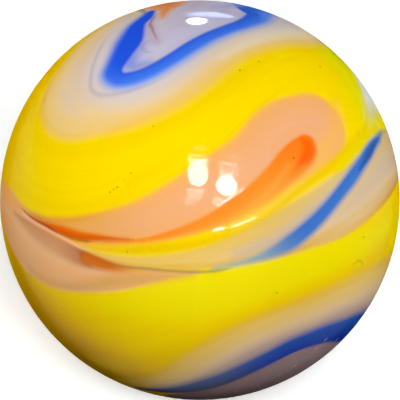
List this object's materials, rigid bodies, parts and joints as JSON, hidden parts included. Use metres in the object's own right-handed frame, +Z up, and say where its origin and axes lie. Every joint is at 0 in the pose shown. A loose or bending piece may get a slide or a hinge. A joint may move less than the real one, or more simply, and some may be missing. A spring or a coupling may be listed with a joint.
{
  "type": "glass marble",
  "caption": "Solid ball of opaque glass with a fire-polished surface: yellow, with folded swirls of cream, lilac, blue, peach, orange and tan glass.",
  "frame": {"origin": "centre of the ball", "axes": "+Z up and +X to the right as the best side is seen; the middle of that side faces -Y, 30 degrees above level"},
  "size_m": [0.016, 0.016, 0.016],
  "materials": {
    "swirled_glass": "gloss, opaque swirled glass"
  },
  "bodies": {
    "root": {"marble": "swirled_glass"}
  },
  "joints": []
}
